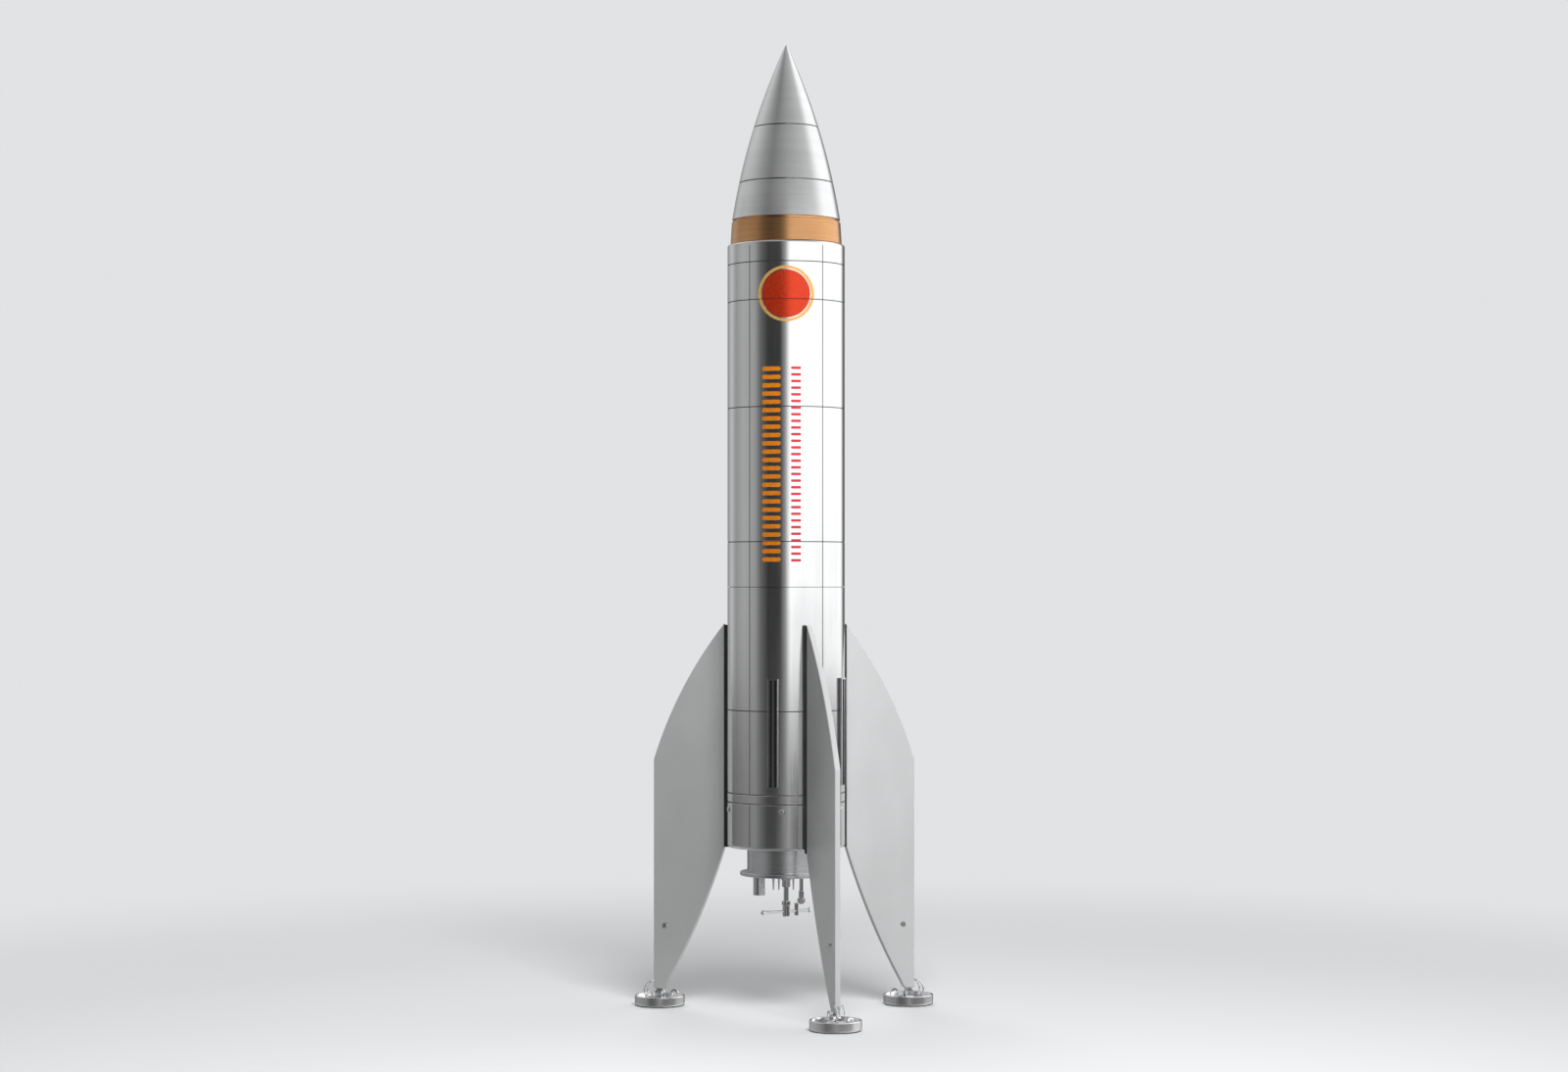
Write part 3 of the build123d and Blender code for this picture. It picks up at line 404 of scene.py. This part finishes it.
def make_guide_metal():
    """Satin rail, dark grey where it comes within 0.8 mm of the tube, fading to its own colour by 1.5 mm."""
    material, tree, inputs = brushed_metal(
        "guide_metal",
        light=(0.80, 0.80, 0.81),
        dark=(0.70, 0.70, 0.71),
        roughness=(0.14, 0.22),
        streaks=(400, 400, 10),
        lines=(2500, 2500, 60),
        depth=0.01 * MM,
    )
    r = radius(tree)
    # Darker close to the tube: dark grey within 0.8 mm of its surface, fading out by 1.5 mm.
    dark_near_tube = step(tree, r, BODY_R + 0.8 * MM, BODY_R + 1.5 * MM, 1, 0)
    base_tone = inputs["Base Color"].links[0].from_socket
    tree.links.new(mix_colors(tree, dark_near_tube, base_tone, (0.16, 0.16, 0.165)), inputs["Base Color"])
    return material


def make_tail_metal():
    return brushed_metal(
        "tail_metal",
        light=(0.68, 0.69, 0.70),
        dark=(0.62, 0.63, 0.64),
        roughness=(0.20, 0.32),
        streaks=(40, 40, 700),
        lines=(80, 80, 5000),
        depth=0.008 * MM,
    )[0]


def make_steel():
    return brushed_metal(
        "steel",
        light=(0.74, 0.73, 0.72),
        dark=(0.64, 0.63, 0.62),
        roughness=(0.12, 0.26),
        streaks=(200, 200, 200),
        lines=(2500, 2500, 2500),
        depth=0.01 * MM,
    )[0]


def make_chrome():
    """Polished plate with faint swirls and a few dull patches."""
    material, tree, inputs = principled("chrome", Metallic=1.0)
    at, _, _, _ = place(tree)
    haze = noise(tree, at, (90, 90, 90), detail=5.0, roughness=0.65)
    swirl = noise(tree, at, (1500, 1500, 4000), detail=2.0)
    tree.links.new(
        mix_colors(tree, step(tree, haze, 0.4, 0.7), (0.90, 0.90, 0.91), (0.82, 0.83, 0.85)),
        inputs["Base Color"],
    )
    tree.links.new(step(tree, haze, 0.35, 0.75, 0.04, 0.13), inputs["Roughness"])
    tree.links.new(bump(tree, swirl, 0.08, 0.01 * MM), inputs["Normal"])
    return material


def make_fin_metal():
    """Fine bead-blasted silver: soft, without a mirror in it."""
    material, tree, inputs = principled("fin_metal", Metallic=0.66, Specular_IOR_Level=0.4)
    at, _, _, _ = place(tree)
    grain = noise(tree, at, (3500, 3500, 3500), detail=2.0)
    cloud = noise(tree, at, (14, 14, 9), detail=4.0, roughness=0.55)
    tone = math(tree, "MULTIPLY_ADD", grain, 0.3, math(tree, "MULTIPLY", cloud, 0.7))
    tree.links.new(
        mix_colors(tree, step(tree, tone, 0.3, 0.7), (0.58, 0.585, 0.59), (0.67, 0.675, 0.68)),
        inputs["Base Color"],
    )
    tree.links.new(step(tree, cloud, 0.3, 0.7, 0.32, 0.40), inputs["Roughness"])
    tree.links.new(bump(tree, grain, 0.2, 0.02 * MM), inputs["Normal"])
    return material


def make_motor_red():
    return brushed_metal(
        "motor_red",
        light=(0.55, 0.04, 0.04),
        dark=(0.42, 0.02, 0.02),
        roughness=(0.2, 0.32),
        streaks=(30, 30, 300),
        lines=(60, 60, 4000),
        depth=0.01 * MM,
    )[0]


# ---------------------------------------------------------------- other materials


def make_matt(name, light, dark, roughness, per_metre, strength, depth):
    """A matt surface with a grain of its own."""
    material, tree, inputs = principled(name)
    at, _, _, _ = place(tree)
    grain = noise(tree, at, per_metre, detail=3.0, roughness=0.6)
    patch = noise(tree, at, (60, 60, 60), detail=3.0)
    tree.links.new(mix_colors(tree, step(tree, patch, 0.3, 0.7), dark, light), inputs["Base Color"])
    tree.links.new(step(tree, grain, 0.3, 0.7, *roughness), inputs["Roughness"])
    tree.links.new(bump(tree, grain, strength, depth), inputs["Normal"])
    return material


def make_rail_black():
    return make_matt(
        "fin_rail_black",
        light=(0.022, 0.022, 0.024),
        dark=(0.014, 0.014, 0.015),
        roughness=(0.4, 0.6),
        per_metre=(900, 900, 60),
        strength=0.2,
        depth=0.03 * MM,
    )


def make_rubber():
    return make_matt(
        "sole_rubber",
        light=(0.030, 0.030, 0.030),
        dark=(0.018, 0.018, 0.018),
        roughness=(0.7, 0.9),
        per_metre=(1200, 1200, 1200),
        strength=0.4,
        depth=0.05 * MM,
    )


def make_ballast_iron():
    return make_matt(
        "ballast_iron",
        light=(0.13, 0.13, 0.13),
        dark=(0.08, 0.08, 0.08),
        roughness=(0.45, 0.65),
        per_metre=(500, 500, 500),
        strength=0.5,
        depth=0.1 * MM,
    )


def make_decal(name, color, shade, sheer):
    """Thin printed film, through which a sheer ink lets the metal shine. It dips over an engraved line, with
    painted shade along the dip.
    """
    material, tree, inputs = principled(name, Metallic=sheer, Coat_Weight=0.1, Coat_Roughness=0.2)
    at, _, _, z = place(tree)
    ink = noise(tree, at, (900, 900, 900), detail=2.0)
    tone = mix_colors(tree, step(tree, ink, 0.3, 0.7), shade, color)
    crease = 0.0
    for line_z in RING_LINES_Z:
        away = math(tree, "ABSOLUTE", math(tree, "SUBTRACT", z, line_z))
        line = step(tree, away, LINE_HALF_W * 0.6, LINE_HALF_W * 1.2, 1, 0)
        crease = math(tree, "MAXIMUM", crease, line)
    # Painted shade: along each engraved line the film's colour is darkened towards near black, where it dips.
    tree.links.new(
        mix_colors(tree, math(tree, "MULTIPLY", crease, 0.7), tone, (0.05, 0.02, 0.02)),
        inputs["Base Color"],
    )
    tree.links.new(step(tree, ink, 0.3, 0.7, 0.18, 0.26), inputs["Roughness"])
    tree.links.new(bump(tree, crease, 0.5, -0.1 * MM), inputs["Normal"])
    return material


PLY_WAVE = 1.2 * MM  # a light ply and a dark one together
SPIRAL_PITCH = 0.045  # climb of the board's seam in one turn


def make_plywood():
    """Birch plies seen at the edges, and grain along the faces."""
    material, tree, inputs = principled("plywood")
    at, _, _, z = place(tree)
    grain = noise(tree, at, (40, 900, 900), detail=4.0, roughness=0.6)
    plies = math(tree, "SINE", math(tree, "MULTIPLY", z, 2 * pi / PLY_WAVE))
    tone = math(tree, "MULTIPLY_ADD", plies, 0.12, grain)
    tree.links.new(
        mix_colors(tree, step(tree, tone, 0.3, 0.75), (0.30, 0.19, 0.10), (0.46, 0.34, 0.21)),
        inputs["Base Color"],
    )
    tree.links.new(step(tree, grain, 0.3, 0.7, 0.55, 0.75), inputs["Roughness"])
    tree.links.new(bump(tree, grain, 0.4, 0.05 * MM), inputs["Normal"])
    return material


def make_tube_board():
    """Kraft board wound in a spiral, with its seam showing."""
    material, tree, inputs = principled("tube_board")
    at, x, y, z = place(tree)
    fibre = noise(tree, at, (700, 700, 1400), detail=4.0, roughness=0.65)
    turn = math(tree, "ARCTAN2", y, x)
    climb = math(tree, "MULTIPLY_ADD", turn, 1 / (2 * pi), math(tree, "MULTIPLY", z, 1 / SPIRAL_PITCH))
    seam = step(tree, math(tree, "FRACT", climb), 0.0, 0.03, 1, 0)
    board = mix_colors(tree, step(tree, fibre, 0.3, 0.7), (0.17, 0.115, 0.065), (0.26, 0.185, 0.12))
    shadow = math(tree, "MULTIPLY", seam, 0.6)
    tree.links.new(mix_colors(tree, shadow, board, (0.08, 0.05, 0.03)), inputs["Base Color"])
    tree.links.new(step(tree, fibre, 0.3, 0.7, 0.7, 0.9), inputs["Roughness"])
    relief = math(tree, "MULTIPLY_ADD", seam, -0.6, fibre)
    tree.links.new(bump(tree, relief, 0.4, 0.05 * MM), inputs["Normal"])
    return material


ROLL_R = 25.0 * MM
RIPSTOP_MM = 5.0  # side of the squares between the heavier threads


def make_ripstop():
    """Thin orange nylon with a grid of heavier threads."""
    material, tree, inputs = principled("chute_fabric", Sheen_Weight=0.35, Sheen_Roughness=0.4)
    at, x, y, z = place(tree)
    turn = math(tree, "ARCTAN2", y, x)
    round_mm = math(tree, "MULTIPLY", turn, ROLL_R / MM)
    height_mm = math(tree, "MULTIPLY", z, 1 / MM)
    grid = 0.0
    for along in (round_mm, height_mm):
        square = math(tree, "FRACT", math(tree, "DIVIDE", along, RIPSTOP_MM))
        away = math(tree, "ABSOLUTE", math(tree, "SUBTRACT", square, 0.5))
        grid = math(tree, "MAXIMUM", grid, step(tree, away, 0.03, 0.06, 1, 0))
    fold = noise(tree, at, (90, 90, 60), detail=3.0)
    cloth = mix_colors(tree, step(tree, fold, 0.3, 0.7), (0.42, 0.10, 0.02), (0.62, 0.19, 0.04))
    threads = math(tree, "MULTIPLY", grid, 0.4)
    tree.links.new(mix_colors(tree, threads, cloth, (0.72, 0.30, 0.09)), inputs["Base Color"])
    tree.links.new(step(tree, fold, 0.3, 0.7, 0.45, 0.6), inputs["Roughness"])
    weave = math(tree, "MULTIPLY_ADD", grid, 0.6, noise(tree, at, (2500, 2500, 2500)))
    tree.links.new(bump(tree, weave, 0.3, 0.05 * MM), inputs["Normal"])
    return material


def make_materials():
    """One finished material for each of the record's slots."""
    return {
        "airframe_metal": make_airframe_metal(),
        "nose_metal": make_nose_metal(),
        "copper_band": make_copper(),
        "fin_metal": make_fin_metal(),
        "fin_rail_black": make_rail_black(),
        "guide_metal": make_guide_metal(),
        "tail_metal": make_tail_metal(),
        "chrome": make_chrome(),
        "steel": make_steel(),
        "sole_rubber": make_rubber(),
        "plywood": make_plywood(),
        "tube_board": make_tube_board(),
        "motor_red": make_motor_red(),
        "chute_fabric": make_ripstop(),
        "ballast_iron": make_ballast_iron(),
        "decal_red": make_decal("decal_red", (0.60, 0.050, 0.014), (0.52, 0.032, 0.01), 0.75),
        "decal_gold": make_decal("decal_gold", (0.66, 0.38, 0.12), (0.58, 0.30, 0.08), 0.6),
        "decal_orange": make_decal("decal_orange", (0.46, 0.145, 0.008), (0.38, 0.11, 0.006), 0.2),
        "decal_crimson": make_decal("decal_crimson", (0.46, 0.016, 0.034), (0.38, 0.012, 0.026), 0.2),
    }


def dress_cad_nodes(materials):
    """Puts the finished materials in the CAD nodes' own slots."""
    for node in NODES.values():
        for slot in node.material_slots:
            slot.material = materials[slot.material.name.split(".")[0]]


# ---------------------------------------------------------------- pieces


def add_piece(name, points, faces, material, body):
    """A mesh piece in the frame's own coordinates, which rides on a body."""
    mesh = bpy.data.meshes.new(name)
    mesh.from_pydata(points, [], faces)
    mesh.materials.append(material)
    shell = bmesh.new()
    shell.from_mesh(mesh)
    bmesh.ops.remove_doubles(shell, verts=shell.verts, dist=1e-7)
    bmesh.ops.recalc_face_normals(shell, faces=shell.faces)
    shell.to_mesh(mesh)
    shell.free()
    mesh.shade_smooth()
    piece = bpy.data.objects.new(name, mesh)
    bpy.context.scene.collection.objects.link(piece)
    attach(piece, body)
    return piece


def ring_faces(first, second, columns):
    """The faces between two rings of points, given where each ring starts."""
    return [
        (first + i, first + (i + 1) % columns, second + (i + 1) % columns, second + i) for i in range(columns)
    ]


def grid_faces(rows, columns, first=0):
    """The faces of a grid whose columns close up into a ring."""
    starts = [first + row * columns for row in range(rows)]
    return [face for low, high in zip(starts, starts[1:]) for face in ring_faces(low, high, columns)]


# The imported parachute. A tie's place, a reach and a shoulder are shares of the roll's height.
CHUTE_LOW, CHUTE_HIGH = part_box("parachute_bundle")
CHUTE_R = (CHUTE_HIGH.x - CHUTE_LOW.x) / 2
CHUTE_MIDDLE = (CHUTE_LOW + CHUTE_HIGH) / 2
CHUTE_H = CHUTE_HIGH.z - CHUTE_LOW.z
CHUTE_COLUMNS = 180
CHUTE_SIDE_ROWS = 60
CHUTE_END_ROWS = 26
CHUTE_TIES = (0.27, 0.73)
CHUTE_WRAPS = 6
CHUTE_SLACK = 2.0 * MM  # kept free between the roll and its box, for the creases and the lap
CHUTE_SHOULDER = 0.06  # over which an end rounds off
WAIST_DEPTH = 2.3 * MM
WAIST_REACH = 0.09  # over which a tie draws the roll in
TIE_REACH = 0.055  # over which a tie holds the creases flat
CREASES = ((0.45, 11, 9, 0.0), (0.35, 17, -14, 1.3), (0.20, 29, 23, 0.0))  # size, waves round, twist, start
CREASE_DEPTH = 0.7 * MM
LAP_T = 1.1 * MM
END_DEPTH = 2.4 * MM
END_RIDGE = 1.6 * MM
END_PUCKER = 0.5 * MM
TIE_W = 5 * MM
TIE_T = 0.9 * MM
TIE_WAVE = 0.5 * MM
TIE_OFFSET = 0.35 * TIE_T  # from the roll to the middle of the band
TIE_POINTS = 16


def chute_radius(turn, up):
    """The rolled cloth's radius: drawn in at the ties, creased lengthwise, with a lap along one side."""
    drawn = sum(exp(-(((up - tie) / WAIST_REACH) ** 2)) for tie in CHUTE_TIES)
    held = sum(exp(-(((up - tie) / TIE_REACH) ** 4)) for tie in CHUTE_TIES)
    ends = min(1.0, min(up, 1 - up) / CHUTE_SHOULDER)
    shoulder = 0.90 + 0.10 * sqrt(1 - (1 - ends) ** 2)
    crease = sum(size * sin(waves * turn + twist * up + start) for size, waves, twist, start in CREASES)
    puff = CREASE_DEPTH * crease * (0.4 + drawn) * (1 - held)
    lap = LAP_T * (1 - turn / (2 * pi)) ** 3
    return (CHUTE_R - CHUTE_SLACK) * shoulder - WAIST_DEPTH * drawn + puff + lap


def chute_point(turn, r, z):
    """A point at a turn and a distance round the roll's own axis."""
    return (CHUTE_MIDDLE.x + r * cos(turn), CHUTE_MIDDLE.y + r * sin(turn), z)


def chute_end_points(end):
    """The roll's low end (0) or high end (1), middle first, with the wraps as a spiral ridge."""
    points = []
    for row in range(CHUTE_END_ROWS):
        share = (row + 0.35) / (CHUTE_END_ROWS - 0.65)
        for column in range(CHUTE_COLUMNS):
            turn = 2 * pi * column / CHUTE_COLUMNS
            wrap = (share * CHUTE_WRAPS + turn / (2 * pi)) % 1.0
            ridge = (1 - abs(2 * wrap - 1)) * END_RIDGE + END_PUCKER * sin(7 * turn + 15 * share)
            sunk = END_DEPTH - ridge * min(1.0, 1.8 * (1 - share) + 0.15)
            z = CHUTE_LOW.z + sunk if end == 0 else CHUTE_HIGH.z - sunk
            points.append(chute_point(turn, chute_radius(turn, end) * share, z))
    return points


def chute_side_points():
    """The roll's side, from the bottom up."""
    points = []
    for row in range(CHUTE_SIDE_ROWS):
        up = (row + 0.5) / CHUTE_SIDE_ROWS
        z = CHUTE_LOW.z + END_RIDGE + up * (CHUTE_H - 2 * END_RIDGE)
        for column in range(CHUTE_COLUMNS):
            turn = 2 * pi * column / CHUTE_COLUMNS
            points.append(chute_point(turn, chute_radius(turn, up), z))
    return points


def make_parachute(fabric, band):
    """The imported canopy: a roll of ripstop with its wraps showing at both ends, held by two rubber ties."""
    points = chute_end_points(0) + chute_end_points(1) + chute_side_points()
    end_size = CHUTE_END_ROWS * CHUTE_COLUMNS
    sides = 2 * end_size
    low_rim, high_rim = end_size - CHUTE_COLUMNS, sides - CHUTE_COLUMNS
    faces = grid_faces(CHUTE_END_ROWS, CHUTE_COLUMNS) + grid_faces(CHUTE_END_ROWS, CHUTE_COLUMNS, end_size)
    faces += grid_faces(CHUTE_SIDE_ROWS, CHUTE_COLUMNS, sides)
    faces += [tuple(range(CHUTE_COLUMNS)), tuple(range(end_size, end_size + CHUTE_COLUMNS))]
    faces += ring_faces(low_rim, sides, CHUTE_COLUMNS)
    faces += ring_faces(high_rim, sides + (CHUTE_SIDE_ROWS - 1) * CHUTE_COLUMNS, CHUTE_COLUMNS)
    roll = add_piece("parachute_roll", points, faces, fabric, "airframe")
    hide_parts("parachute_bundle")
    for number, tie in enumerate(CHUTE_TIES, 1):
        make_tie(f"parachute_tie_{number}", tie, band)


def flattened(value):
    """Pushes a sine towards a square wave, for a flat section with round edges."""
    return (1 if value >= 0 else -1) * abs(value) ** 0.35


def make_tie(name, up, band):
    """A flat rubber band that follows the roll it holds, a little twisted."""
    height = CHUTE_LOW.z + up * CHUTE_H
    points = []
    for number in range(TIE_POINTS):
        angle = 2 * pi * number / TIE_POINTS
        across = 0.5 * TIE_W * flattened(cos(angle))
        out = 0.5 * TIE_T * flattened(sin(angle))
        for column in range(CHUTE_COLUMNS):
            turn = 2 * pi * column / CHUTE_COLUMNS
            snug = chute_radius(turn, up + across / CHUTE_H) + TIE_OFFSET
            wave = TIE_WAVE * sin(2 * turn + up * 9)
            points.append(chute_point(turn, snug + out, height + across + wave))
    last = (TIE_POINTS - 1) * CHUTE_COLUMNS
    faces = grid_faces(TIE_POINTS, CHUTE_COLUMNS) + ring_faces(last, 0, CHUTE_COLUMNS)
    add_piece(name, points, faces, band, "airframe")


# The skirt's screws
SCREW_STATION = -4.2  # station of the first one
SCREW_COUNT = 5
SCREW_COLUMNS = 48
SCREW_HEAD_ROWS = 22
SCREW_THREAD_ROWS = 30
SCREW_HEAD_R = 1.8 * MM
SCREW_HEAD_H = 1.0 * MM
SCREW_THREAD_R = 0.8 * MM
SCREW_THREAD_TURNS = 7
SCREW_THREAD_DEPTH = 0.06  # share of the thread's radius, from a ridge to its middle line
SCREW_REACH = 3.2 * MM
SCREW_TIP = 0.07  # share of the reach over which the end narrows
SCREW_TIP_NARROWING = 0.3
SCREW_CLOCKS = (0.4, 1.3)  # turn of the first recess, and how much further each next one is turned
CROSS_HALF_W = 0.26 * MM
CROSS_REACH = 1.0 * MM
CROSS_DEPTH = 0.65 * MM


def cross_arm(along, across):
    """How deep one pair of the recess's arms is at a point of the head, from 0 to 1."""
    side = min(1.0, max(0.0, (CROSS_HALF_W - abs(across)) / (0.4 * CROSS_HALF_W)))
    end = min(1.0, max(0.0, (CROSS_REACH - abs(along)) / (0.3 * CROSS_REACH)))
    return side * end


def screw_profile(row, turn, clock):
    """How far a point of the screw is from its own axis, and out from the skirt, head rows first."""
    if row < SCREW_HEAD_ROWS:
        share = (row + 0.3) / (SCREW_HEAD_ROWS - 0.7)
        r = SCREW_HEAD_R * share
        u, v = r * cos(turn + clock), r * sin(turn + clock)
        dome = SCREW_HEAD_H * (1 - share**4) ** 0.5
        return r, dome - CROSS_DEPTH * max(cross_arm(u, v), cross_arm(v, u))
    share = (row - SCREW_HEAD_ROWS) / (SCREW_THREAD_ROWS - 1)
    ridge = sin(2 * pi * share * SCREW_THREAD_TURNS + turn)
    narrowing = SCREW_TIP_NARROWING * max(0.0, share - 1 + SCREW_TIP) / SCREW_TIP
    r = SCREW_THREAD_R * (1 - SCREW_THREAD_DEPTH * (1 - ridge)) * (1 - narrowing)
    return r, -SCREW_REACH * share


def make_skirt_screws(steel):
    """Pan heads with a cross recess, and threaded ends inside the skirt."""
    low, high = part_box("skirt_screws")
    middle_z = (low.z + high.z) / 2
    rows = SCREW_HEAD_ROWS + SCREW_THREAD_ROWS
    for number in range(SCREW_COUNT):
        station = radians(SCREW_STATION + 360 * number / SCREW_COUNT)
        outwards = Vector((sin(station), -cos(station), 0))
        across = Vector((cos(station), sin(station), 0))
        clock = SCREW_CLOCKS[0] + SCREW_CLOCKS[1] * number
        points = []
        for row in range(rows):
            for column in range(SCREW_COLUMNS):
                turn = 2 * pi * column / SCREW_COLUMNS
                r, out = screw_profile(row, turn, clock)
                flat = outwards * (BODY_R + out) + across * (r * cos(turn))
                points.append((flat.x, flat.y, middle_z + r * sin(turn)))
        faces = grid_faces(rows, SCREW_COLUMNS)
        faces += [tuple(range(SCREW_COLUMNS)), tuple(range(len(points) - SCREW_COLUMNS, len(points)))]
        screw = add_piece(f"skirt_screw_{number + 1}", points, faces, steel, "airframe")
        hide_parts("skirt_screws")


make_camera()
make_world()
make_floor()
make_light("key_light", (0.15, -0.80, 0.92), (0.5, 0.5), 22)
make_light("back_light", (-0.3, 1.2, 1.1), (0.8, 0.8), 12)
MATERIALS = make_materials()
dress_cad_nodes(MATERIALS)
make_parachute(MATERIALS["chute_fabric"], MATERIALS["sole_rubber"])
make_skirt_screws(MATERIALS["steel"])
bpy.context.scene.view_settings.view_transform = "Standard"
